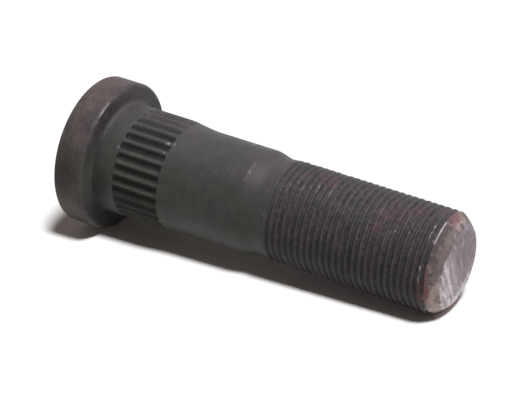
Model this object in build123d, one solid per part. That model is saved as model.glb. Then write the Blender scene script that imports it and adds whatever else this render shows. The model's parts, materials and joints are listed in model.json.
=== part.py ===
from build123d import *
from build123d.topology import SkipClean
import math
import os

# Wheel stud: a forged round head, a serrated press collar, a plain shank and a threaded end.
# The stud stands on its head. Z runs along its axis from the head's outer face to the tip.

# Head, in millimetres like every length here
head_diameter = 33.2
head_thickness = 7.0
head_outer_edge = 0.3
head_seat_edge = 0.4
seat_fillet_radius = 0.9

# Press collar, plain next to the head and serrated after that
collar_diameter = 24.5
collar_length = 5.35
serration_count = 31
serration_length = 11.05
serration_depth = 0.65
groove_width = 1.55
groove_floor_width = 0.5

# Chamfer that ends the crests: it starts short of the grooves' ends
crest_setback = 1.0
crest_chamfer_length = 1.4

# Lead-in cone and plain shank
lead_in_diameter = 23.76
lead_in_length = 4.0
shank_diameter = 23.04
shank_length = 15.0

# Neck where the thread runs out
neck_diameter = 21.4
neck_taper_length = 3.6
neck_length = 0.8
run_out_length = 0.8

# Threaded end, with a ring for each turn of its thread
thread_diameter = 22.0
thread_pitch = 1.5
thread_turns = 25
thread_depth = 0.9
end_crest_width = 0.25

# Tip
tip_length = 3.1
tip_face_diameter = 16.7

# Heights along the axis, one length after another
seat_height = head_thickness
serration_start = seat_height + collar_length
serration_end = serration_start + serration_length
crest_end = serration_end - crest_setback
lead_in_start = crest_end + crest_chamfer_length
shank_start = lead_in_start + lead_in_length
shank_end = shank_start + shank_length
neck_start = shank_end + neck_taper_length
neck_end = neck_start + neck_length
thread_start = neck_end + run_out_length
first_crest = thread_start + end_crest_width
last_crest = first_crest + thread_turns * thread_pitch
tip_start = last_crest + end_crest_width
overall_length = tip_start + tip_length

# Radii of the turned steps
head_radius = head_diameter / 2
collar_radius = collar_diameter / 2
lead_in_radius = lead_in_diameter / 2
shank_radius = shank_diameter / 2
neck_radius = neck_diameter / 2
thread_radius = thread_diameter / 2
tip_face_radius = tip_face_diameter / 2


def head_outline():
    """Radius and height of each corner from the middle of the outer face to the serrations' start."""
    # The fillet beside the collar is two flats through the middle of its arc
    half_way = seat_fillet_radius * (1 - math.cos(math.radians(45)))
    return [
        (0, 0),
        (head_radius - head_outer_edge, 0),
        (head_radius, head_outer_edge),
        (head_radius, seat_height - head_seat_edge),
        (head_radius - head_seat_edge, seat_height),
        (collar_radius + seat_fillet_radius, seat_height),
        (collar_radius + half_way, seat_height + half_way),
        (collar_radius, seat_height + seat_fillet_radius),
        (collar_radius, serration_start),
    ]


def shank_outline():
    """Corners from the end of the serrations' crests to the neck."""
    return [
        (collar_radius, crest_end),
        (lead_in_radius, lead_in_start),
        (shank_radius, shank_start),
        (shank_radius, shank_end),
        (neck_radius, neck_start),
        (neck_radius, neck_end),
    ]


def thread_outline():
    """Corners of the threaded end: one groove for each turn, with a narrow flat crest at either end."""
    corners = [(thread_radius, thread_start)]
    for turn in range(thread_turns):
        crest = first_crest + turn * thread_pitch
        corners.append((thread_radius, crest))
        corners.append((thread_radius - thread_depth, crest + thread_pitch / 2))
    corners.append((thread_radius, last_crest))
    corners.append((thread_radius, tip_start))
    return corners


def turned_body():
    """The stud without its serrations, turned about its axis."""
    tip = [(tip_face_radius, overall_length), (0, overall_length), (0, 0)]
    corners = head_outline() + shank_outline() + thread_outline() + tip
    section = Plane.XZ * make_face(Polyline(*corners).edges())
    # The collar's wall stays in two lengths, so that its plain part keeps a face of its own
    return revolve(section, Axis.Z, clean=False)


def serration_grooves():
    """Straight grooves around the collar, closed at both ends."""
    floor_radius = collar_radius - serration_depth
    # The sides keep their slope to a little outside the crests, so that each groove cuts cleanly
    spare_depth = serration_depth / 2
    side_slope = (groove_width - groove_floor_width) / 2 / serration_depth
    mouth_half = groove_width / 2 + side_slope * spare_depth
    mouth_radius = collar_radius + spare_depth
    groove = Polygon(
        (floor_radius, -groove_floor_width / 2),
        (mouth_radius, -mouth_half),
        (mouth_radius, mouth_half),
        (floor_radius, groove_floor_width / 2),
        align=None,
    )
    cutter = Pos(0, 0, serration_start) * extrude(groove, serration_length)
    return PolarLocations(0, serration_count) * cutter


def wheel_stud():
    """The whole stud, one solid, with each serration crest a face of its own."""
    with SkipClean():
        return turned_body() - serration_grooves()


os.makedirs("parts", exist_ok=True)
stud = wheel_stud()
export_step(stud, "parts/wheel_stud.step")
print(f"wheel_stud: {overall_length:.2f} mm long, {stud.volume / 1000:.2f} cubic centimetres")
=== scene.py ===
"""Looks of the wheel stud: its detailed mesh and steel, the floor that it lies on, light and camera."""

import json
import math

import bpy
import numpy as np
from mathutils import Matrix, Vector


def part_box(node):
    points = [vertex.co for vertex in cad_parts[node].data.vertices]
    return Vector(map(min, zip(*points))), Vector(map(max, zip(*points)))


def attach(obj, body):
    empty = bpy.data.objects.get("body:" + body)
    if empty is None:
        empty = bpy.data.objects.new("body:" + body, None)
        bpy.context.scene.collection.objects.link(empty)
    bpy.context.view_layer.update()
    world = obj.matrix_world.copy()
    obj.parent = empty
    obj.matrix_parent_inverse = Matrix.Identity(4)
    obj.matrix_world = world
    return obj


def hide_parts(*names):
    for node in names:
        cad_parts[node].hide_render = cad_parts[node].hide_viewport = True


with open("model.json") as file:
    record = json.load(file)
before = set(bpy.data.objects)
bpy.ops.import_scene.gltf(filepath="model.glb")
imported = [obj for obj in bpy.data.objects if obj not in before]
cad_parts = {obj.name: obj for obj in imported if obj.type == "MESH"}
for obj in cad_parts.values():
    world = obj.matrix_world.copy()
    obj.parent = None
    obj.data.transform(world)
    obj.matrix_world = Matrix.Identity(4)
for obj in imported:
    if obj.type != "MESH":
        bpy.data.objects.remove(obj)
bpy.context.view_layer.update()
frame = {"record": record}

# Sizes that the frame gives, in millimetres like every length here unless its name says otherwise
METRES = 0.001
mounts = {mount["name"]: mount for mount in frame["record"]["mounts"]}
stud_low, stud_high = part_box("wheel_stud")
stud_length = stud_high.z / METRES
head_radius = stud_high.x / METRES
seat_height = mounts["head_seat"]["pos_m"][2] / METRES
collar_radius = mounts["press_collar"]["dims"]["r_mm"]
thread_radius = mounts["thread"]["dims"]["r_mm"]
thread_middle = mounts["thread"]["pos_m"][2] / METRES
tip_start = thread_middle + mounts["thread"]["dims"]["length_mm"] / 2

# Head and press collar
head_outer_edge = 0.35
head_seat_edge = 1.0
seat_fillet = 0.9
serration_count = 31
serration_start = 12.15
serration_end = 23.4
serration_depth = 0.65
# The grooves rise softly to the collar beside the head and end short at the lead-in
groove_rise = 0.6
groove_fall = 0.2

# Crests that wear away toward the lead-in cone, then the cone, the shank and the neck
crest_wear_start = 19.5
crest_wear = 0.18
lead_in_start = 22.9
lead_in_end = 28.0
lead_in_step = 0.5
lead_in_hollow = 1.6
shank_radius = 11.52
taper_start = 42.6
taper_end = 46.4
# Share of the taper that is rounded at its ends
taper_rounding = 0.4
neck_radius = 10.7
neck_end = 46.9

# Thread
thread_pitch = 1.5
thread_depth = 0.92
thread_phase = 1.05
flank_slope = math.tan(math.radians(60))
crest_flat = thread_pitch / 8
crest_rounding = 0.015
crest_full_at = 49.8
groove_start = 46.6
groove_full_at = 49.8

# Tip: its chamfer, on which the thread's grooves fade out, and the uneven edge of its face
tip_face_radius = 8.35
tip_crown = 0.2
tip_groove_full = 0.4
tip_groove_fade = 1.6
tip_edge = 0.2
tip_edge_wander = 0.3
# Waves around that edge, and the shift of each in radians
EDGE_WAVES = ((3, 1.0), (5, 2.3), (8, 0.7), (13, 4.0))

# Columns of the mesh across one serration, as shares of its pitch from groove centre to groove centre,
# with the share of the groove's depth at each
TOOTH_SHARES = (0.0, 0.10, 0.21, 0.315, 0.5, 0.685, 0.79, 0.90)
TOOTH_DEPTHS = (1.0, 0.97, 0.70, 0.33, 0.0, 0.33, 0.70, 0.97)
# The mesh's seam is on the serration that faces away from the camera
SEAM_TOOTH = 19
# Rows of the mesh on the head: radii across its outer face, then numbers of rows and steps
HEAD_FACE_RADII = (2.5, 5.0, 7.5, 10.0, 12.0, 14.0, 15.2)
OUTER_EDGE_ROWS = 6
RIM_STEPS = 10
SEAT_EDGE_ROWS = 7
SEAT_STEPS = 5
FILLET_ROWS = 7
# Rows along the serrations: distances before them, shares of the grooves' rise, even rows with the gaps that
# these leave at either end, distances short of the end, shares of the grooves' fall, and a distance past it
BEFORE_SERRATIONS = (3.0, 1.5, 0.15)
RISE_SHARES = (0.0, 0.25, 0.5, 0.75, 1.0)
EVEN_ROWS = 9
EVEN_ROWS_LOW_GAP = 1.0
EVEN_ROWS_HIGH_GAP = 0.8
SHORT_OF_SERRATION_END = (0.7, 0.45)
FALL_SHARES = (1.0, 0.7, 0.4, 0.15, 0.0)
PAST_SERRATION_END = 0.1
# Space from the serrations to the cone's first row, and between the rows of the cone, the shank and the neck
CONE_FIRST_SPACE = 0.3
CONE_ROW_SPACE = 0.5
SHANK_ROW_SPACE = 0.35
NECK_ROW_SPACE = 0.3
# Rows across one turn of thread, as shares of the pitch from crest centre to crest centre
TURN_SHARES = (0.0, 0.07, 0.22, 0.38, 0.5, 0.62, 0.78, 0.93)
# Least gap between the helical rows and the level rows on either side of them
HELIX_GAP = 0.1
# Rows between the last turn of the thread and the end face
CHAMFER_ROWS = 9
# Rows that round the end face's edge: share of the wander at the first, then how far below the face and
# inside the edge the second and the third lie
EDGE_FIRST_WANDER = 0.4
EDGE_SECOND_DROP = 0.08
EDGE_SECOND_INSET = 0.02
EDGE_THIRD_DROP = 0.02
EDGE_THIRD_INSET = 0.10
# Rings of the end face: the first one's distance from the edge, the space between them, their least radius
FACE_FIRST_INSET = 0.6
FACE_RING_SPACE = 0.22
FACE_LEAST_RADIUS = 0.2
# Small dents in the crests of the thread: half lengths along and around, and depth, each between two values,
# and the share of a turn that they reach down from a crest
DENT_COUNT = 220
DENT_SEED = 5
DENT_ALONG = (0.25, 0.6)
DENT_AROUND = (0.3, 1.2)
DENT_DEPTH = (0.03, 0.14)
DENTED_SHARE = 0.3


def smooth_step(low, high, value):
    """0 at low and before it, 1 at high and past it, with a smooth ramp between them."""
    share = np.clip((np.asarray(value, float) - low) / (high - low), 0, 1)
    return share * share * (3 - 2 * share)


def column_angles():
    """Angle of each column of the mesh in radians, and its share of the serration's depth."""
    pitch = 2 * math.pi / serration_count
    angles = []
    depths = []
    for tooth in range(SEAM_TOOTH, SEAM_TOOTH + serration_count):
        for share, depth in zip(TOOTH_SHARES, TOOTH_DEPTHS):
            angles.append((tooth + share) * pitch)
            depths.append(depth)
    return np.array(angles), np.array(depths)


def round_rows(centre_radius, centre_height, size, start, end, steps):
    """Rows of a rounded edge, from angle start to angle end in degrees, 0 being outward and 90 up."""
    turns = np.radians(np.linspace(start, end, steps))
    return [(centre_radius + size * math.cos(t), centre_height + size * math.sin(t)) for t in turns]


def head_rows():
    """Radius and height of each row from the middle of the outer face to the collar."""
    rows = [(radius, 0.0) for radius in HEAD_FACE_RADII]
    edge_centre = head_radius - head_outer_edge
    rows += round_rows(edge_centre, head_outer_edge, head_outer_edge, -90, 0, OUTER_EDGE_ROWS)
    rim_low = head_outer_edge
    rim_high = seat_height - head_seat_edge
    rim_width = rim_high - rim_low
    rows += [(head_radius, rim_low + rim_width * step / RIM_STEPS) for step in range(1, RIM_STEPS)]
    rows += round_rows(head_radius - head_seat_edge, rim_high, head_seat_edge, 0, 90, SEAT_EDGE_ROWS)
    fillet_centre = collar_radius + seat_fillet
    seat_width = head_radius - head_seat_edge - fillet_centre
    for step in range(1, SEAT_STEPS):
        rows.append((fillet_centre + seat_width * (1 - step / SEAT_STEPS), seat_height))
    rows += round_rows(fillet_centre, seat_height + seat_fillet, seat_fillet, 270, 180, FILLET_ROWS)
    return rows


def body_radius(height):
    """Radius of the collar, the lead-in cone, the shank and the neck, serrations left out."""
    if height < lead_in_start:
        worn = max(0.0, (height - crest_wear_start) / (lead_in_start - crest_wear_start))
        return collar_radius - crest_wear * worn ** 2
    if height < lead_in_end:
        left = (lead_in_end - height) / (lead_in_end - lead_in_start)
        return shank_radius + lead_in_step * left ** lead_in_hollow
    taper = np.clip((height - taper_start) / (taper_end - taper_start), 0, 1)
    rounded = smooth_step(taper_start, taper_end, height)
    eased = (1 - taper_rounding) * taper + taper_rounding * rounded
    return shank_radius + (neck_radius - shank_radius) * float(eased)


def serration_heights():
    """Height of each row of the serrated band, closer together where the grooves start and end."""
    heights = [serration_start - before for before in BEFORE_SERRATIONS]
    heights += [serration_start + groove_rise * share for share in RISE_SHARES]
    low = serration_start + groove_rise + EVEN_ROWS_LOW_GAP
    high = serration_end - groove_fall - EVEN_ROWS_HIGH_GAP
    heights += list(np.linspace(low, high, EVEN_ROWS))
    heights += [serration_end - short for short in SHORT_OF_SERRATION_END]
    heights += [serration_end - groove_fall * share for share in FALL_SHARES]
    heights.append(serration_end + PAST_SERRATION_END)
    return heights


def serrated_rows(depths):
    """Rows of the serrated band: each row's radii, column by column, and its height."""
    groove = collar_radius - serration_depth * depths
    rows = []
    for height in serration_heights():
        rise = smooth_step(serration_start, serration_start + groove_rise, height)
        fall = smooth_step(serration_end, serration_end - groove_fall, height)
        top = np.full(len(depths), body_radius(height))
        rows.append((top + (np.minimum(groove, top) - top) * float(rise * fall), height))
    return rows


def shank_rows():
    """Radius and height of each row from the serrations' end to the neck."""
    heights = list(np.arange(serration_end + CONE_FIRST_SPACE, lead_in_end, CONE_ROW_SPACE))
    heights += list(np.arange(lead_in_end, taper_start, SHANK_ROW_SPACE))
    heights += list(np.arange(taper_start, neck_end, NECK_ROW_SPACE))
    return [(body_radius(height), height) for height in heights]


def tip_radius(height):
    """Radius of the tip's chamfer, which cuts the thread off."""
    share = np.clip((np.asarray(height, float) - tip_start) / (stud_length - tip_start), 0, 1)
    return thread_radius - (thread_radius - tip_face_radius) * share + 4 * tip_crown * share * (1 - share)


def thread_radii(heights, share):
    """Radius of the thread at these heights, at one share of a turn away from the crest's centre."""
    from_crest = min(share, 1 - share) * thread_pitch
    flank = (from_crest - crest_flat / 2) * flank_slope
    depth = min(max(flank, crest_rounding if share else 0.0), thread_depth)
    crest = neck_radius + (thread_radius - neck_radius) * smooth_step(neck_end, crest_full_at, heights)
    groove = depth * smooth_step(groove_start, groove_full_at, heights)
    groove = groove * smooth_step(tip_start + tip_groove_fade, tip_start + tip_groove_full, heights)
    return np.minimum(crest - groove, tip_radius(heights))


def crest_dents(angles, heights, dents):
    """Depth of the dents at these places."""
    depth = np.zeros(len(angles))
    for turn, place, along, around, deep in dents:
        away = (angles - turn + math.pi) % (2 * math.pi) - math.pi
        reach = ((heights - place) / along) ** 2 + (away * thread_radius / around) ** 2
        depth = np.maximum(depth, deep * np.exp(-reach))
    return depth


def scattered_dents():
    """Angle, height, half length along and around, and depth of each dent, the same ones in every run."""
    chance = np.random.default_rng(DENT_SEED)
    return [(
        chance.uniform(0, 2 * math.pi),
        chance.uniform(groove_full_at, tip_start),
        chance.uniform(*DENT_ALONG),
        chance.uniform(*DENT_AROUND),
        chance.uniform(*DENT_DEPTH),
    ) for _ in range(DENT_COUNT)]


def thread_rows(angles):
    """Helical rows of the threaded end: each row's radii and heights, column by column, and its share."""
    turn = (angles - angles[0]) / (2 * math.pi)
    first = thread_phase + thread_pitch * angles[0] / (2 * math.pi) % thread_pitch
    first += thread_pitch * math.ceil((neck_end + HELIX_GAP - first) / thread_pitch)
    highest = stud_length - tip_edge - HELIX_GAP
    turns = math.floor((highest - thread_pitch - first) / thread_pitch)
    dents = scattered_dents()
    rows = []
    for index in range(turns):
        for share in TURN_SHARES:
            heights = first + thread_pitch * (index + share + turn)
            radii = thread_radii(heights, share)
            if min(share, 1 - share) < DENTED_SHARE:
                radii = radii - crest_dents(angles, heights, dents)
            rows.append((radii, heights, share))
    last = first + thread_pitch * (turns + turn)
    rows.append((thread_radii(last, 0.0), last, 0.0))
    return rows


def chamfer_rows(last_turn):
    """Radii and heights of the rows that level out from the thread's last turn to the chamfer's end."""
    rows = []
    for share in np.linspace(0, 1, CHAMFER_ROWS + 2)[1:-1]:
        heights = last_turn + (stud_length - tip_edge - last_turn) * share
        rows.append((tip_radius(heights), heights))
    return rows


def tip_rows(angles):
    """Radii and height of each row from the chamfer's end to the middle of the end face."""
    # The edge between them is uneven, and stays inside the turned form
    wander = sum(np.cos(waves * angles + shift) for waves, shift in EDGE_WAVES) / len(EDGE_WAVES)
    uneven = tip_edge_wander * (wander - 1) / 2
    first = stud_length - tip_edge
    second = stud_length - EDGE_SECOND_DROP
    third = stud_length - EDGE_THIRD_DROP
    rows = [(tip_radius(first) + uneven * EDGE_FIRST_WANDER, first)]
    rows.append((tip_radius(second) - EDGE_SECOND_INSET + uneven, second))
    rows.append((tip_face_radius - EDGE_THIRD_INSET + uneven, third))
    rings = np.arange(tip_face_radius - FACE_FIRST_INSET, FACE_LEAST_RADIUS, -FACE_RING_SPACE)
    rows += [(radius, stud_length) for radius in rings]
    return rows


class StudMesh:
    """Vertices and faces of the stud, row by row from the head's outer face to the tip."""

    def __init__(self, angles):
        self.angles = angles
        self.count = len(angles)
        self.points = []
        self.faces = []
        self.groove = []

    def add_row(self, radii, heights, groove):
        """One row of vertices; groove is how dark it is painted with soot and shade in a serration or a
        thread, 0 to 1.
        """
        start = len(self.points)
        radii = np.broadcast_to(radii, self.count)
        heights = np.broadcast_to(heights, self.count)
        groove = np.broadcast_to(groove, self.count)
        for angle, radius, height in zip(self.angles, radii, heights):
            self.points.append((radius * math.cos(angle), radius * math.sin(angle), float(height)))
        self.groove += [float(value) for value in groove]
        return start

    def add_pole(self, height):
        self.points.append((0.0, 0.0, height))
        self.groove.append(0.0)
        return len(self.points) - 1

    def close_start(self, pole, row):
        for column in range(self.count):
            after = (column + 1) % self.count
            self.faces.append((pole, row + after, row + column))

    def close_end(self, row, pole):
        for column in range(self.count):
            after = (column + 1) % self.count
            self.faces.append((row + column, row + after, pole))

    def join_rings(self, lower, upper):
        """Faces between two level rows."""
        for column in range(self.count):
            after = (column + 1) % self.count
            self.faces.append((lower + column, lower + after, upper + after, upper + column))

    def join_open(self, lower, upper):
        """Faces between two rows, left open at the seam."""
        for column in range(self.count - 1):
            after = column + 1
            self.faces.append((lower + column, lower + after, upper + after, upper + column))

    def join_helix(self, ring_below, helix, closing):
        """Faces of the helical rows, from the level row below them to the rows that close them."""
        last_column = self.count - 1
        per_turn = len(TURN_SHARES)
        self.join_open(ring_below, helix[0])
        for lower, upper in zip(helix[:-1], helix[1:]):
            self.join_open(lower, upper)
        # Across the seam each row meets the row one turn above it
        for index in range(len(helix) - per_turn - 1):
            lower, upper = helix[index], helix[index + 1]
            lower_on, upper_on = helix[index + per_turn], helix[index + per_turn + 1]
            self.faces.append((lower + last_column, lower_on, upper_on, upper + last_column))
        below = [ring_below + last_column, ring_below]
        below += helix[:per_turn + 1] + [helix[0] + last_column]
        self.faces.append(tuple(below))
        above = [helix[-per_turn - 1] + last_column, helix[-1]]
        above += [row + last_column for row in reversed(helix[-per_turn:])]
        self.faces.append(tuple(above))
        for lower, upper in zip([helix[-1]] + closing[:-1], closing):
            self.join_rings(lower, upper)


# Soot and painted shade in the serrations' grooves are thickest where they face the camera: their least
# share, and the azimuths in degrees between which they grow and fall off
SOOT_AND_SHADE_LEAST = 0.25
SOOT_AND_SHADE_GROWS = (-52, 0)
SOOT_AND_SHADE_FALLS = (58, 46)
# Below those, painted shade covers grooves and crests alike
SPREAD_SHADE = 0.42
SPREAD_GROWS = (42, 52)
SPREAD_FALLS = (140, 100)
# Distances from the grooves' start and end between which the soot and shade grow and fall off
SOOT_AND_SHADE_START = (-0.1, 0.2)
SOOT_AND_SHADE_END = (0.05, -0.25)
# How dark the thread's grooves are painted with soot and shade, as a share of the serrations'
thread_soot_and_shade = 0.52


def serration_dirt_and_shade(azimuth, depths):
    """How dark each column of the serrations is painted with soot and shade."""
    soot = smooth_step(*SOOT_AND_SHADE_GROWS, azimuth) * smooth_step(*SOOT_AND_SHADE_FALLS, azimuth)
    soot = SOOT_AND_SHADE_LEAST + (1 - SOOT_AND_SHADE_LEAST) * soot
    spread = SPREAD_SHADE * smooth_step(*SPREAD_GROWS, azimuth) * smooth_step(*SPREAD_FALLS, azimuth)
    return np.maximum(soot * depths, spread)


def inside_serrations(height):
    """1 along the serrations, and 0 past their ends."""
    return smooth_step(*SOOT_AND_SHADE_START, height - serration_start) * smooth_step(*SOOT_AND_SHADE_END, height - serration_end)


def thread_dirt_and_shade(heights, share):
    """How dark the thread is with soot and painted shade at these heights, at one share of a turn away from
    the crest's centre.
    """
    fade = smooth_step(groove_start, groove_full_at, heights)
    fade = fade * smooth_step(tip_start + tip_groove_fade, tip_start, heights)
    return fade * min(share, 1 - share) * thread_soot_and_shade


def stud_mesh():
    """The whole stud as a closed mesh in millimetres."""
    angles, depths = column_angles()
    azimuth = (np.degrees(angles) + 180) % 360 - 180
    # The serrations' and the thread's rows carry soot and painted shade in their grooves
    painted_darkness = serration_dirt_and_shade(azimuth, depths)
    mesh = StudMesh(angles)
    pole = mesh.add_pole(0.0)
    rings = [mesh.add_row(radius, height, 0.0) for radius, height in head_rows()]
    for radii, height in serrated_rows(depths):
        rings.append(mesh.add_row(radii, height, painted_darkness * inside_serrations(height)))
    rings += [mesh.add_row(radius, height, 0.0) for radius, height in shank_rows()]
    mesh.close_start(pole, rings[0])
    for lower, upper in zip(rings[:-1], rings[1:]):
        mesh.join_rings(lower, upper)
    turns = thread_rows(angles)
    helix = [mesh.add_row(radii, heights, thread_dirt_and_shade(heights, share)) for radii, heights, share in turns]
    last_turn = turns[-1][1]
    end_rows = chamfer_rows(last_turn) + tip_rows(angles)
    tip = [mesh.add_row(radius, height, 0.0) for radius, height in end_rows]
    mesh.join_helix(rings[-1], helix, tip)
    mesh.close_end(tip[-1], mesh.add_pole(stud_length))
    return mesh


# Brown rust on the thread: height, azimuth in degrees, half lengths along and around, strength
RUST_PATCHES = (
    (58.0, -46, 4.5, 3.4, 0.65),
    (53.5, -38, 3.0, 3.0, 0.50),
    (50.0, -36, 2.5, 3.6, 0.50),
    (66.0, -42, 3.0, 2.8, 0.40),
    (75.0, -26, 4.4, 5.0, 0.75),
    (73.2, -4, 2.2, 2.8, 0.75),
    (79.5, -42, 3.4, 3.2, 0.75),
    (84.4, -54, 1.8, 2.2, 0.95),
    (86.9, -52, 1.2, 2.8, 1.00),
    (84.7, 38, 0.5, 4.0, 1.00),
    (85.4, 56, 0.5, 3.2, 1.00),
    (86.3, 31, 0.6, 3.0, 0.90),
    (86.9, 56, 0.6, 2.6, 0.80),
    (88.0, 2, 0.8, 1.4, 0.50),
    (66.0, 150, 3.5, 3.0, 0.50),
    (78.0, 215, 4.0, 4.0, 0.60),
    (55.0, 265, 3.0, 3.0, 0.45),
    (37.0, 200, 4.0, 4.0, 0.25),
)
# Pale oxide on the tip, with painted light where it faces the floor: height, azimuth in degrees, half lengths
# along and around, strength
PALE_AND_LIT_PATCHES = (
    (88.0, 66, 1.7, 3.4, 1.00),
    (87.4, 88, 1.7, 3.4, 0.95),
    (88.2, 115, 1.6, 4.0, 1.00),
    (88.8, 48, 0.6, 2.0, 0.90),
    (87.4, -54, 1.6, 3.0, 0.80),
    (88.6, -38, 0.8, 3.2, 0.25),
    (88.6, -75, 0.8, 3.4, 0.45),
    (87.6, 150, 1.5, 4.0, 0.80),
    (87.5, 230, 1.3, 4.0, 0.60),
)
# Bare worn lines, most of them also painted glints: height, azimuth from and to in degrees, half width,
# strength
WORN_AND_GLINT_LINES = (
    (57.9, -30, -18, 0.26, 0.53),
    (54.7, -22, -16, 0.25, 0.42),
    (51.6, -23, -16, 0.25, 0.42),
    (53.4, -30, -20, 0.25, 0.45),
    (61.0, -33, -16, 0.25, 0.32),
    (72.9, -18, -11, 0.25, 0.44),
    (77.7, -6, -3, 0.34, 0.95),
    (80.6, -8.5, -6.5, 0.30, 0.75),
    (84.9, -28, -6, 0.22, 0.52),
    (86.35, -34, -3, 0.22, 0.90),
    (85.15, 18, 30, 0.25, 0.40),
    (85.2, 33, 41, 0.25, 0.43),
    (86.5, 19, 26, 0.22, 0.42),
    (82.2, 38, 46, 0.22, 0.42),
    (6.75, -27, -13, 0.16, 0.72),
    (6.75, -42, -6, 0.16, 0.40),
    (6.60, 56, 72, 0.15, 0.40),
    (22.55, -18.5, -15, 0.28, 0.90),
    (23.75, -20, -17, 0.25, 0.52),
    (22.6, -8, -5, 0.28, 0.62),
    (12.1, 0.5, 5, 0.30, 0.62),
    (37.7, -68, -64, 0.50, 0.80),
    (42.6, -19, -8, 0.20, 0.36),
)
# Patches of painted shade on the lower side of the head and the collar: height, azimuth in degrees, half
# lengths along and around, strength
LOW_SIDE_SHADE_PATCHES = (
    (3.2, 38, 4.0, 8.0, 0.32),
    (9.8, 46, 2.4, 5.0, 0.34),
)
# Lines where the coating is rubbed lighter, one of them a painted highlight on the taper, and patches of
# painted light, as above
RUBBED_AND_HIGHLIGHT_LINES = (
    (42.6, -31, -4, 0.40, 0.90),
    (39.1, -6, 1, 0.30, 0.35),
    (1.9, -14, -2, 0.30, 0.30),
    (5.5, -24, -16, 0.25, 0.40),
)
PAINTED_LIGHT_PATCHES = (
    (24.5, -52, 2.4, 3.0, 0.30),
    (9.6, -68, 2.0, 2.6, 0.55),
    (6.9, 38, 0.5, 8.0, 0.80),
    (9.2, 20, 1.6, 4.0, 0.25),
)
# Thin bright scratches on the end face: x and y of both ends, strength; and the half width of all
FACE_SCRATCHES = (
    (4.0, -5.0, 2.0, -3.7, 0.9),
    (1.4, -1.7, -3.1, 0.0, 0.7),
    (-3.8, -0.8, -7.0, 0.5, 0.8),
    (5.6, -2.4, 6.9, -2.2, 0.6),
)
SCRATCH_WIDTH = 0.26
# Where the bare end face reaches over its edge: azimuth and half width in degrees, reach
FACE_OVERLAPS = (
    (70, 35, 0.5),
    (122, 30, 1.6),
    (15, 14, 0.5),
    (-78, 32, 1.2),
)


def bell(value, middle, width):
    """1 at the middle, falling off softly to either side with this half width."""
    return np.exp(-(((value - middle) / width) ** 2))


def patches(spots, height, azimuth, radius):
    """Strength of a set of soft round patches at each vertex."""
    strength = np.zeros(len(height))
    for place, turn, along, around, most in spots:
        away = np.radians((azimuth - turn + 180) % 360 - 180) * radius
        reach = ((height - place) / along) ** 2 + (away / around) ** 2
        strength = np.maximum(strength, most * np.exp(-reach))
    return strength


def lines(marks, height, azimuth):
    """Strength of a set of soft lines around the stud at each vertex."""
    strength = np.zeros(len(height))
    for place, start, end, width, most in marks:
        along = smooth_step(start - 1, start + 1, azimuth) * smooth_step(end + 1, end - 1, azimuth)
        strength = np.maximum(strength, most * along * bell(height, place, width))
    return strength


# Painted shade in the corner between the seat and the collar: its middle and half width from the collar and
# from the seat, the azimuths in degrees between which it grows toward the camera, strength
CORNER_BY_COLLAR = (0.2, 0.6)
CORNER_BY_SEAT = (0.3, 0.7)
CORNER_GROWS = (-20, 15)
CORNER_SHADE = 0.45


def corner_painted_shade(height, radius, azimuth):
    """How dark the corner between the seat and the collar is painted with shade at each vertex."""
    painted_darkness = bell(radius - collar_radius, *CORNER_BY_COLLAR) * bell(height - seat_height, *CORNER_BY_SEAT)
    return CORNER_SHADE * painted_darkness * smooth_step(*CORNER_GROWS, azimuth)


# Stain with painted shade on the thread's crests and dust with painted light on its flanks: strengths along
# its top and on its lower side
TOP_STAIN_AND_SHADE = 0.18
TOP_DUST_AND_LIGHT = 0.25
LOW_STAIN_AND_SHADE = 0.27
LOW_DUST_AND_LIGHT = 0.25
# Azimuths in degrees: middle and half width of the top, and where the lower side grows and falls off
THREAD_TOP = (-50, 16)
LOW_SIDE_GROWS = (5, 38)
LOW_SIDE_FALLS = (120, 100)
# Half width of the stain and shade, and middle and half width of the dust and light, as shares of a turn
STAIN_AND_SHADE_WIDTH = 0.12
DUSTY_LIT_FLANK = (0.38, 0.2)
# Length past the thread's end over which both fall off
MARKS_FADE = 0.5


def thread_stain_dust_and_painted_light(height, azimuth):
    """How dark the thread's crests are, stained and with painted shade, and how light its flanks, dusty and
    with painted light, at each vertex.
    """
    on_thread = smooth_step(groove_start, groove_full_at, height)
    on_thread = on_thread * smooth_step(tip_start + MARKS_FADE, tip_start, height)
    on_top = bell(azimuth, *THREAD_TOP) * on_thread
    on_low_side = smooth_step(*LOW_SIDE_GROWS, azimuth) * smooth_step(*LOW_SIDE_FALLS, azimuth) * on_thread
    turn_share = ((height - thread_phase) / thread_pitch - azimuth / 360) % 1
    from_crest = np.minimum(turn_share, 1 - turn_share)
    stain_and_shade = (TOP_STAIN_AND_SHADE * on_top + LOW_STAIN_AND_SHADE * on_low_side) * bell(from_crest, 0, STAIN_AND_SHADE_WIDTH)
    dust_and_light = (TOP_DUST_AND_LIGHT * on_top + LOW_DUST_AND_LIGHT * on_low_side) * bell(turn_share, *DUSTY_LIT_FLANK)
    return stain_and_shade, dust_and_light


# Depths below the end face between which bare steel and its painted highlight grow, and that the scratches
# reach
BARE_DEPTHS = (0.3, 0.05)
HIGHLIGHT_DEPTHS = (0.5, 0.3)
SCRATCH_DEPTH = 0.05
# Distances from the end face's edge between which bare steel grows
BARE_EDGE = (0.3, -1.2)
# The thread's crests that face up are rubbed bare, with painted glints: azimuth and half width in degrees,
# strength, and the darkest groove that counts as a crest
RUBBED_GLINT_CRESTS_AT = (-22, 12)
RUBBED_GLINT_CRESTS = 0.38
CREST_GROOVE = 0.03


def face_overlap(azimuth):
    """How far the bare end face reaches over its edge at each vertex."""
    return sum(reach * bell(azimuth, middle, width) for middle, width, reach in FACE_OVERLAPS)


def near_end(height, depths, over):
    """0 at the first of two depths below the end face and 1 at the second, both lowered by the overlap."""
    return smooth_step(stud_length - depths[0] - over, stud_length - depths[1] - over, height)


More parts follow.
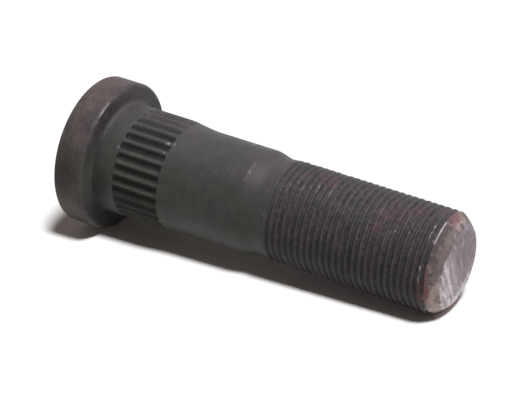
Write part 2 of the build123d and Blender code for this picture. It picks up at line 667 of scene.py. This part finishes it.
def bare_steel_and_glints(height, radius, azimuth, groove):
    """How bare the end face and the thread's rubbed crests are at each vertex, the crests also painted
    glints.
    """
    over = face_overlap(azimuth)
    edge = tip_face_radius + over
    bare = near_end(height, BARE_DEPTHS, over) * smooth_step(edge + BARE_EDGE[0], edge + BARE_EDGE[1], radius)
    on_crest = (height > groove_full_at) * (height < tip_start) * (groove < CREST_GROOVE)
    return np.maximum(bare, RUBBED_GLINT_CRESTS * on_crest * bell(azimuth, *RUBBED_GLINT_CRESTS_AT))


# Painted bright crescent of reflection on the end face: radii between which it grows, and azimuths in degrees
# between which it grows and falls off
CRESCENT_RADII = (0.4, 5.2)
CRESCENT_GROWS = (-25, 25)
CRESCENT_FALLS = (175, 145)
# Pale band of painted light along the lowest part of its edge, which faces the floor: azimuth in degrees,
# reach to either side, radii, strength
LOWEST_AZIMUTH = 125
BAND_REACH = (95, 45)
BAND_RADII = (5.4, 7.8)
BAND_PAINTED_LIGHT = 2.5


def face_scratches(points):
    """Strength of the end face's scratches at each vertex."""
    strength = np.zeros(len(points))
    for x0, y0, x1, y1, most in FACE_SCRATCHES:
        run_x = x1 - x0
        run_y = y1 - y0
        along = (points[:, 0] - x0) * run_x + (points[:, 1] - y0) * run_y
        along = np.clip(along / (run_x ** 2 + run_y ** 2), 0, 1)
        away = np.hypot(points[:, 0] - x0 - along * run_x, points[:, 1] - y0 - along * run_y)
        strength = np.maximum(strength, most * bell(away, 0, SCRATCH_WIDTH))
    return strength


def face_highlight_and_scratches(points, radius, azimuth):
    """Painted brightness of the end face at each vertex: a crescent of reflection, light by its lowest edge,
    and scratches.
    """
    height = points[:, 2]
    crescent = smooth_step(*CRESCENT_RADII, radius)
    crescent = crescent * smooth_step(*CRESCENT_GROWS, azimuth) * smooth_step(*CRESCENT_FALLS, azimuth)
    from_lowest = np.abs((azimuth - LOWEST_AZIMUTH + 180) % 360 - 180)
    band = BAND_PAINTED_LIGHT * smooth_step(*BAND_RADII, radius) * smooth_step(*BAND_REACH, from_lowest)
    scratches_and_highlight = np.maximum(crescent, band) * near_end(height, HIGHLIGHT_DEPTHS, face_overlap(azimuth))
    return np.maximum(scratches_and_highlight, face_scratches(points) * (height > stud_length - SCRATCH_DEPTH))


# The serrations' crests are painted lighter where they face the camera: radii between which this grows, the
# length over which it starts, and the azimuths in degrees between which it grows and falls off
LIGHTER_TEETH_RADII = (12.0, 12.2)
LIGHTER_TEETH_START = 1.0
LIGHTER_TEETH_GROWS = (-40, 20)
LIGHTER_TEETH_FALLS = (52, 38)


def rubbed_and_lit_coat(height, radius, azimuth):
    """How much lighter the coat is at each vertex, rubbed and with painted light."""
    rub_and_painted_light = smooth_step(serration_start, serration_start + LIGHTER_TEETH_START, height)
    rub_and_painted_light = rub_and_painted_light * (height < lead_in_start)
    rub_and_painted_light = rub_and_painted_light * smooth_step(*LIGHTER_TEETH_RADII, radius)
    rub_and_painted_light = rub_and_painted_light * smooth_step(*LIGHTER_TEETH_GROWS, azimuth) * smooth_step(*LIGHTER_TEETH_FALLS, azimuth)
    rub_and_painted_light = np.maximum(rub_and_painted_light, lines(RUBBED_AND_HIGHLIGHT_LINES, height, azimuth))
    return np.maximum(rub_and_painted_light, patches(PAINTED_LIGHT_PATCHES, height, azimuth, radius))


# The head is browner where it faces up as the stud lies: azimuth and half width in degrees, the least brown,
# the share that its seat loses elsewhere, distances inside the rim where the seat starts, and distances from
# the seat between which the brown falls off
HEAD_TOP = (-40, 45)
LEAST_BROWN = 0.45
SEAT_LOSS = 0.8
SEAT_STARTS = (0.1, 0.4)
BROWN_ENDS = (0.4, -0.5)


def head_brown(height, radius, azimuth):
    """How brown with forge scale the head is at each vertex."""
    facing_up = bell(azimuth, *HEAD_TOP)
    on_seat = smooth_step(*SEAT_STARTS, head_radius - radius) * (height > seat_height / 2)
    brown = LEAST_BROWN + (1 - LEAST_BROWN) * facing_up
    brown = brown * (1 - SEAT_LOSS * on_seat * (1 - facing_up))
    return brown * smooth_step(*BROWN_ENDS, height - seat_height)


# Length past the neck over which the coat turns to the thread's grey, and length to either side of the tip's
# start over which it turns to oxide
THREAD_GREY_LENGTH = 4.0
OXIDE_LENGTH = 0.8
# The coat is warmer along the top: azimuth and half width in degrees, least share and what the top adds
WARM_TOP = (-55, 45)
WARM_LEAST = 0.2
WARM_GAIN = 0.7
# Worn lines end at grooves this dark, and their painted glints shine less than the end face
WORN_GROOVE = 0.3
WORN_HIGHLIGHT = 0.45


def surface_marks(points, groove):
    """Strength of each kind of mark at each vertex, by its name."""
    height = points[:, 2]
    radius = np.hypot(points[:, 0], points[:, 1])
    azimuth = np.degrees(np.arctan2(points[:, 1], points[:, 0]))
    # The grooves' darkness also takes painted shade in the seat's corner and on the lower side of the head
    # and collar
    groove = np.maximum(groove, corner_painted_shade(height, radius, azimuth))
    groove = np.maximum(groove, patches(LOW_SIDE_SHADE_PATCHES, height, azimuth, radius))
    # Worn lines, partly painted glints
    worn = lines(WORN_AND_GLINT_LINES, height, azimuth) * (groove < WORN_GROOVE)
    stain_and_shade, dust_and_light = thread_stain_dust_and_painted_light(height, azimuth)
    return {
        "groove": np.maximum(groove, stain_and_shade),
        "rust": patches(RUST_PATCHES, height, azimuth, radius),
        "thread": smooth_step(neck_end, neck_end + THREAD_GREY_LENGTH, height),
        "oxide": smooth_step(tip_start - OXIDE_LENGTH, tip_start + OXIDE_LENGTH, height),
        "near_face": smooth_step(tip_start, stud_length, height),
        # Pale oxide, with painted light where the tip faces the floor
        "pale": patches(PALE_AND_LIT_PATCHES, height, azimuth, radius),
        "bare": np.maximum(bare_steel_and_glints(height, radius, azimuth, groove), worn),
        # Painted highlight and reflection, with the end face's scratches
        "scratches_and_highlight": np.maximum(face_highlight_and_scratches(points, radius, azimuth), worn * WORN_HIGHLIGHT),
        "scale": head_brown(height, radius, azimuth),
        # Rubbing, with painted light
        "rub_and_painted_light": np.maximum(rubbed_and_lit_coat(height, radius, azimuth), dust_and_light),
        "warm": WARM_LEAST + WARM_GAIN * bell(azimuth, *WARM_TOP),
    }


def make_stud():
    """The stud as one piece that stands for its solid."""
    mesh = stud_mesh()
    points = np.array(mesh.points)
    data = bpy.data.meshes.new("stud")
    data.from_pydata((points * METRES).tolist(), [], mesh.faces)
    data.polygons.foreach_set("use_smooth", [True] * len(data.polygons))
    for name, values in surface_marks(points, np.array(mesh.groove)).items():
        data.attributes.new(name, "FLOAT", "POINT").data.foreach_set("value", values.astype(np.float32))
    stud = bpy.data.objects.new("stud", data)
    bpy.context.scene.collection.objects.link(stud)
    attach(stud, "root")
    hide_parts("wheel_stud")
    stud.data.materials.append(steel_material())
    return stud


def new_material(name):
    material = bpy.data.materials.new(name)
    material.use_nodes = True
    return material


class Nodes:
    """Short ways to add and link the nodes of a material or a world."""

    def __init__(self, owner):
        self.tree = owner.node_tree

    def add(self, kind, inputs=(), **settings):
        """A node with its settings; inputs are pairs of a socket and a value or an output to link."""
        node = self.tree.nodes.new(kind)
        for name, value in settings.items():
            setattr(node, name, value)
        for socket, value in inputs:
            if isinstance(value, bpy.types.NodeSocket):
                self.tree.links.new(value, node.inputs[socket])
            else:
                node.inputs[socket].default_value = value
        return node

    def attribute(self, name):
        return self.add("ShaderNodeAttribute", attribute_name=name).outputs["Fac"]

    def grain(self, where, size, detail=3.0, roughness=0.55):
        """Noise about 0 to 1 with features of this size in millimetres."""
        inputs = [("Vector", where), ("Scale", 1 / size), ("Detail", detail), ("Roughness", roughness)]
        return self.add("ShaderNodeTexNoise", inputs).outputs["Fac"]

    def ramp(self, value, low, high, start=0.0, end=1.0):
        """The value brought from low and high to start and end, smoothly."""
        inputs = [("Value", value), ("From Min", low), ("From Max", high), ("To Min", start), ("To Max", end)]
        return self.add("ShaderNodeMapRange", inputs, interpolation_type="SMOOTHSTEP").outputs["Result"]

    def stretched(self, where, shares):
        """A place with each of its axes scaled by a share."""
        inputs = [(0, where), (1, shares)]
        return self.add("ShaderNodeVectorMath", inputs, operation="MULTIPLY").outputs[0]

    def ragged(self, name, noise, reach, low, high):
        """A painted attribute with an uneven border: noise moves it by half the reach either way."""
        moved = self.sum(self.attribute(name), self.ramp(noise, 0.25, 0.75, -reach / 2, reach / 2))
        return self.ramp(moved, low, high)

    def sum(self, first, second):
        return self.add("ShaderNodeMath", [(0, first), (1, second)], operation="ADD").outputs["Value"]

    def product(self, first, second):
        return self.add("ShaderNodeMath", [(0, first), (1, second)], operation="MULTIPLY").outputs["Value"]

    def dot(self, first, second):
        inputs = [(0, first), (1, second)]
        return self.add("ShaderNodeVectorMath", inputs, operation="DOT_PRODUCT").outputs["Value"]

    def mix(self, share, first, second, blend="MIX"):
        """Two colours mixed by a share of the second one."""
        node = self.add("ShaderNodeMix", data_type="RGBA", blend_type=blend, clamp_factor=True)
        for socket, value in ((0, share), (6, first), (7, second)):
            if isinstance(value, bpy.types.NodeSocket):
                self.tree.links.new(value, node.inputs[socket])
            else:
                node.inputs[socket].default_value = value if socket == 0 else (*value, 1)
        return node.outputs[2]

    def link(self, output, shader, socket):
        self.tree.links.new(output, shader.inputs[socket])


# Colours of the steel, as linear light
PHOSPHATE_COOL = (0.0475, 0.049, 0.0455)
PHOSPHATE_WARM = (0.058, 0.0525, 0.057)
THREAD_GREY = (0.059, 0.0535, 0.0585)
SCALE_DARK = (0.056, 0.044, 0.045)
SCALE_LIGHT = (0.099, 0.072, 0.073)
RUST_BROWN = (0.090, 0.061, 0.065)
RUST_PINK = (0.195, 0.101, 0.107)
OXIDE_DARK = (0.088, 0.068, 0.070)
OXIDE_GREY = (0.185, 0.158, 0.158)
# Pale oxide, also the colour of painted light on the side of the tip that faces the floor
OXIDE_PALE_AND_LIT = (0.500, 0.400, 0.405)
BARE_DARK = (0.258, 0.224, 0.256)
BARE_GREY = (0.372, 0.329, 0.376)
# Painted highlight on bare steel
BARE_HIGHLIGHT = (0.75, 0.70, 0.757)
# Direction of the scratches on the end face, from +X
SCRATCH_TURN = math.radians(-22)
# Range that most values of a noise lie in
NOISE = (0.3, 0.7)
# Factors on the colour: in the darkest grooves with soot and painted shade, where the coat is lightest with
# rubbing and painted light, and of the noises
GROOVE_SOOT_AND_SHADE = 0.5
RUBBED_AND_LIT_SHADE = 1.6
FINE_SHADES = (0.82, 1.16)
TURNING_SHADES = (0.94, 1.06)
# What the thread's specks and the coat's stains add to that factor
SPECKS = (-0.2, 0.2)
STAINS = (-0.115, 0.115)
# Roughness of the coat, and what rust and bare steel add to it
ROUGHNESS = (0.48, 0.60)
RUST_ROUGHNESS = 0.15
BARE_ROUGHNESS = 0.05
# Reflection of bare steel, of the coat and of the grooves darkened with soot and painted shade, and the share
# of it that the end face keeps
BARE_METALLIC = 0.8
COAT_SPECULAR = 0.25
GROOVE_SPECULAR = 0.06
FACE_GLOSS = 0.15
# Relief: shares of the noises, strength, and depth in millimetres
MOTTLE_RELIEF = 0.6
FINE_RELIEF = 0.25
SCRATCH_RELIEF = 0.8
RELIEF_STRENGTH = 0.35
RELIEF_DEPTH = 0.1


def steel_grains(nodes):
    """The steel's noises by name, each with features of its own size in millimetres."""
    place = nodes.add("ShaderNodeTexCoord").outputs["Object"]
    to_millimetres = [(0, place), ("Scale", 1 / METRES)]
    where = nodes.add("ShaderNodeVectorMath", to_millimetres, operation="SCALE").outputs[0]
    to_scratches = [("Vector", where), ("Angle", -SCRATCH_TURN)]
    turned = nodes.add("ShaderNodeVectorRotate", to_scratches, rotation_type="Z_AXIS").outputs[0]
    return {
        "blotches": nodes.grain(where, 8, detail=4),
        "clouds": nodes.grain(where, 5),
        "stains": nodes.grain(where, 3.2),
        "mottle": nodes.grain(where, 1.6, detail=5, roughness=0.65),
        "specks": nodes.grain(where, 0.8),
        "fine": nodes.grain(where, 0.35, roughness=0.6),
        "turning": nodes.grain(nodes.stretched(where, (0.12, 0.12, 1.2)), 1, detail=4, roughness=0.65),
        "scratches": nodes.grain(nodes.stretched(turned, (0.22, 0.8, 1)), 1, detail=5, roughness=0.6),
        "smears": nodes.grain(nodes.stretched(turned, (0.5, 0.8, 1)), 2),
    }


def coat_colour(nodes, grain):
    """Phosphate, greyer on the thread, with forge scale on the head."""
    warm = nodes.ragged("warm", grain["blotches"], 1.0, 0.2, 0.8)
    colour = nodes.mix(warm, PHOSPHATE_COOL, PHOSPHATE_WARM)
    colour = nodes.mix(nodes.attribute("thread"), colour, THREAD_GREY)
    clouds = nodes.sum(nodes.product(grain["mottle"], 0.45), nodes.product(grain["clouds"], 0.55))
    scale_colour = nodes.mix(nodes.ramp(clouds, 0.4, 0.6), SCALE_DARK, SCALE_LIGHT)
    scale = nodes.product(nodes.attribute("scale"), nodes.ramp(grain["blotches"], 0.3, 0.65, 0.5, 1))
    return nodes.mix(scale, colour, scale_colour)


def oxidised(nodes, grain, colour):
    """A colour with oxide over it on the tip: dark by the thread, grey by the face, and pale in patches,
    partly painted light where it faces the floor.
    """
    mottle = grain["mottle"]
    oxide = nodes.mix(nodes.ragged("near_face", mottle, 0.9, 0.1, 0.9), OXIDE_DARK, OXIDE_GREY)
    oxide = nodes.mix(nodes.ragged("pale", mottle, 0.9, 0.2, 0.9), oxide, OXIDE_PALE_AND_LIT)
    return nodes.mix(nodes.ragged("oxide", mottle, 0.8, 0.3, 0.7), colour, oxide)


def bare_colour(nodes, grain):
    """Dull bare steel, turning along noisy streaks to a painted highlight where the end face, its scratches
    and the glints are marked bright.
    """
    streaks = nodes.ramp(grain["scratches"], 0.36, 0.66, 0.1, 1.0)
    streaks = nodes.product(streaks, nodes.ramp(grain["smears"], 0.32, 0.58, 0.35, 1.1))
    dull = nodes.mix(nodes.ramp(grain["mottle"], *NOISE), BARE_DARK, BARE_GREY)
    return nodes.mix(nodes.product(nodes.attribute("scratches_and_highlight"), streaks), dull, BARE_HIGHLIGHT)


def painted_shade_light_and_tone(nodes, grain):
    """A grey to multiply the colour by: soot and painted shade in grooves, rubbing and painted light, uneven
    all over.
    """
    uneven = nodes.product(nodes.ramp(grain["specks"], 0.35, 0.65, *SPECKS), nodes.attribute("thread"))
    uneven = nodes.sum(uneven, nodes.ramp(grain["stains"], *NOISE, *STAINS))
    uneven = nodes.product(uneven, nodes.ramp(nodes.attribute("oxide"), 0, 1, 1, 0))
    # Soot and painted shade in the grooves darken the colour; rubbing and painted light lighten it
    shade = nodes.ramp(nodes.attribute("groove"), 0.1, 0.8, 1, GROOVE_SOOT_AND_SHADE)
    shade = nodes.product(shade, nodes.ramp(grain["fine"], *NOISE, *FINE_SHADES))
    shade = nodes.product(shade, nodes.sum(uneven, 1.0))
    shade = nodes.product(shade, nodes.ramp(grain["turning"], *NOISE, *TURNING_SHADES))
    shade = nodes.product(shade, nodes.ramp(nodes.attribute("rub_and_painted_light"), 0, 1, 1, RUBBED_AND_LIT_SHADE))
    return nodes.add("ShaderNodeCombineColor", [(0, shade), (1, shade), (2, shade)]).outputs[0]


def set_gloss(nodes, grain, shader, rust, bare):
    """Rougher where rusty, and dull in grooves darkened with soot and painted shade, and on the end face."""
    rough = nodes.ramp(grain["mottle"], *NOISE, *ROUGHNESS)
    rough = nodes.sum(rough, nodes.product(rust, RUST_ROUGHNESS))
    rough = nodes.sum(rough, nodes.product(bare, BARE_ROUGHNESS))
    nodes.link(rough, shader, "Roughness")
    gloss = nodes.ramp(nodes.attribute("near_face"), 0.6, 1.0, 1.0, FACE_GLOSS)
    nodes.link(nodes.product(nodes.product(bare, BARE_METALLIC), gloss), shader, "Metallic")
    specular = nodes.ramp(nodes.attribute("groove"), 0.1, 0.5, COAT_SPECULAR, GROOVE_SPECULAR)
    nodes.link(nodes.product(specular, gloss), shader, "Specular IOR Level")


def set_relief(nodes, grain, shader, bare):
    """Fine unevenness all over, and scratches where the steel is bare."""
    relief = nodes.product(grain["mottle"], MOTTLE_RELIEF)
    relief = nodes.sum(relief, nodes.product(grain["fine"], FINE_RELIEF))
    relief = nodes.sum(relief, nodes.product(nodes.product(grain["scratches"], bare), SCRATCH_RELIEF))
    inputs = [("Height", relief), ("Strength", RELIEF_STRENGTH), ("Distance", RELIEF_DEPTH * METRES)]
    nodes.link(nodes.add("ShaderNodeBump", inputs).outputs["Normal"], shader, "Normal")


def steel_material():
    """Dark phosphated steel, forge-scaled on the head, oxidised at the tip, worn bare in places, painted with
    shade and highlights.
    """
    material = new_material("phosphated_steel")
    nodes = Nodes(material)
    shader = nodes.tree.nodes["Principled BSDF"]
    grain = steel_grains(nodes)
    rust = nodes.ragged("rust", grain["mottle"], 0.8, 0.15, 0.95)
    rust_colour = nodes.mix(nodes.attribute("oxide"), RUST_BROWN, RUST_PINK)
    # Bare steel on the end face and in worn places, which along the worn lines and rubbed crests is also
    # painted glints
    bare = nodes.ragged("bare", grain["mottle"], 0.5, 0.25, 0.75)
    colour = oxidised(nodes, grain, coat_colour(nodes, grain))
    colour = nodes.mix(rust, colour, rust_colour)
    colour = nodes.mix(bare, colour, bare_colour(nodes, grain))
    colour = nodes.mix(1.0, colour, painted_shade_light_and_tone(nodes, grain), "MULTIPLY")
    nodes.link(colour, shader, "Base Color")
    set_gloss(nodes, grain, shader, rust, bare)
    set_relief(nodes, grain, shader, bare)
    return material


# The floor touches the head's seat edge and the last full crest of the thread
FLOOR_AZIMUTH = math.radians(-48.52)
FLOOR_SIZE_M = 2.4


def floor_frame():
    """The floor's upward normal, its direction across the stud and along it, and a point on it, in metres."""
    out = Vector((math.cos(FLOOR_AZIMUTH), math.sin(FLOOR_AZIMUTH), 0))
    head_touch = -out * head_radius + Vector((0, 0, seat_height - head_seat_edge))
    tip_touch = -out * thread_radius + Vector((0, 0, tip_start))
    along = (tip_touch - head_touch).normalized()
    across = along.cross(out).normalized()
    up = across.cross(along)
    return up, across, along, head_touch * METRES


def make_floor():
    """A wide pale floor under the stud as it lies, see-through from below."""
    up, across, along, touch = floor_frame()
    half = FLOOR_SIZE_M / 2
    signs = ((1, 1), (-1, 1), (-1, -1), (1, -1))
    corners = [touch + across * x * half + along * y * half for x, y in signs]
    data = bpy.data.meshes.new("floor")
    data.from_pydata(corners, [], [(0, 1, 2, 3)])
    if data.polygons[0].normal.dot(up) < 0:
        data.flip_normals()
    floor = bpy.data.objects.new("floor", data)
    bpy.context.scene.collection.objects.link(floor)
    floor.data.materials.append(floor_material())
    return floor


# The floor's colour to the camera and in reflections, and for the light that it gives back
FLOOR_WHITE = (0.97, 0.97, 0.97)
FLOOR_BOUNCE = (0.56, 0.54, 0.50)


def floor_material():
    """Matt and pale from above, clear from below."""
    material = new_material("pale_floor")
    nodes = Nodes(material)
    nodes.tree.nodes.remove(nodes.tree.nodes["Principled BSDF"])
    # Other surfaces get less light back from the floor than the camera and reflections do
    path = nodes.add("ShaderNodeLightPath").outputs
    seen = nodes.sum(nodes.sum(path["Is Camera Ray"], path["Is Glossy Ray"]), path["Is Transmission Ray"])
    white = nodes.add("ShaderNodeBsdfDiffuse", [("Color", nodes.mix(seen, FLOOR_BOUNCE, FLOOR_WHITE))])
    clear = nodes.add("ShaderNodeBsdfTransparent")
    below = nodes.add("ShaderNodeNewGeometry").outputs["Backfacing"]
    mix = nodes.add("ShaderNodeMixShader", [(0, below), (1, white.outputs[0]), (2, clear.outputs[0])])
    nodes.link(mix.outputs[0], nodes.tree.nodes["Material Output"], "Surface")
    return material


# Lamps: shares of the floor's up, across and along directions that each comes from, its width and strength
FLOOR_LAMP = {"come_from": (1, 0.28, 0.37), "width_deg": 11, "strength": 3.46}
STUD_LAMP = {"come_from": (1, 0.04, 0.32), "width_deg": 30, "strength": 3.15}
FILL_LAMP = {"come_from": (1, 1.0, 1.6), "width_deg": 150, "strength": 0.50}
UNDER_LAMP = {"come_from": (-0.60, -0.80, -0.35), "width_deg": 20, "strength": 1.6}
# Low light from all round, and from beyond the head
AMBIENT = (0.084, 0.069, 0.063)
AMBIENT_BY_HEAD = (0.235, 0.193, 0.172)
# Direction of the room's darker side, and the share of white that reflections show there
DARK_SIDE = (0.887, 0.166, 0.431)
DARK_SIDE_SHARE = 0.1
# How squarely a direction faces one of these sides when the side starts, and when it is full
SIDE_RANGE = (0.1, 0.9)


def make_lamp(name, lit, come_from, width_deg, strength):
    """A soft lamp that lights one object."""
    up, across, along, _ = floor_frame()
    toward = up * come_from[0] + across * come_from[1] + along * come_from[2]
    light = bpy.data.lights.new(name, "SUN")
    light.energy = strength
    light.angle = math.radians(width_deg)
    lamp = bpy.data.objects.new(name, light)
    bpy.context.scene.collection.objects.link(lamp)
    lamp.rotation_mode = "QUATERNION"
    lamp.rotation_quaternion = toward.to_track_quat("Z", "Y")
    receivers = bpy.data.collections.new(name + "_lights")
    receivers.objects.link(lit)
    lamp.light_linking.receiver_collection = receivers
    return lamp


def pass_floor(lamp, stud):
    """Lets a lamp shine through the floor, without gloss: only the stud shades it."""
    lamp.visible_glossy = False
    blockers = bpy.data.collections.new(lamp.name + "_shades")
    blockers.objects.link(stud)
    lamp.light_linking.blocker_collection = blockers


def make_world():
    """White to the camera and in reflections, less so on one side of the room, and a low light on all."""
    world = bpy.data.worlds.new("studio")
    bpy.context.scene.world = world
    world.use_nodes = True
    nodes = Nodes(world)
    path = nodes.add("ShaderNodeLightPath").outputs
    toward = nodes.add("ShaderNodeTexCoord").outputs["Generated"]
    _, _, along, _ = floor_frame()
    by_head = nodes.ramp(nodes.dot(toward, tuple(-along)), *SIDE_RANGE)
    low_light = nodes.mix(by_head, AMBIENT, AMBIENT_BY_HEAD)
    bright = nodes.ramp(nodes.dot(toward, DARK_SIDE), *SIDE_RANGE, 1, DARK_SIDE_SHARE)
    mirrored = nodes.product(nodes.sum(path["Is Glossy Ray"], path["Is Transmission Ray"]), bright)
    seen = nodes.sum(path["Is Camera Ray"], mirrored)
    background = nodes.tree.nodes["Background"]
    nodes.link(nodes.mix(seen, low_light, (1, 1, 1)), background, "Color")


# Camera: where it looks and from where, as seen round the standing stud
CAMERA_TARGET_M = Vector((-0.00013, 0.00069, 0.04305))
CAMERA_DISTANCE_M = 0.41649
CAMERA_AZIMUTH = math.radians(100.58)
CAMERA_ELEVATION = math.radians(25.53)
CAMERA_ROLL = math.radians(108.27)
CAMERA_LENS = 133.95
CAMERA_SENSOR = 36
CAMERA_NEAR_M = 0.01
CAMERA_FAR_M = 10


def camera_side():
    """Direction from the stud to the camera."""
    flat = math.cos(CAMERA_ELEVATION)
    x = math.sin(CAMERA_AZIMUTH) * flat
    y = -math.cos(CAMERA_AZIMUTH) * flat
    return Vector((x, y, math.sin(CAMERA_ELEVATION)))


def make_camera():
    """The scene's camera, as fitted to the photo."""
    back = camera_side()
    data = bpy.data.cameras.new("camera")
    data.lens = CAMERA_LENS
    data.sensor_width = CAMERA_SENSOR
    data.clip_start = CAMERA_NEAR_M
    data.clip_end = CAMERA_FAR_M
    camera = bpy.data.objects.new("camera", data)
    bpy.context.scene.collection.objects.link(camera)
    level = back.to_track_quat("Z", "Y").to_matrix()
    turn = level @ Matrix.Rotation(CAMERA_ROLL, 3, "Z")
    camera.matrix_world = Matrix.Translation(CAMERA_TARGET_M + back * CAMERA_DISTANCE_M) @ turn.to_4x4()
    bpy.context.scene.camera = camera


stud = make_stud()
make_lamp("stud_lamp", stud, **STUD_LAMP)
make_lamp("fill_lamp", stud, **FILL_LAMP)
make_lamp("floor_lamp", make_floor(), **FLOOR_LAMP)
# The side that lies on the floor is lit too, for views from below
pass_floor(make_lamp("under_lamp", stud, **UNDER_LAMP), stud)
make_world()
make_camera()
bpy.context.scene.view_settings.view_transform = "Standard"
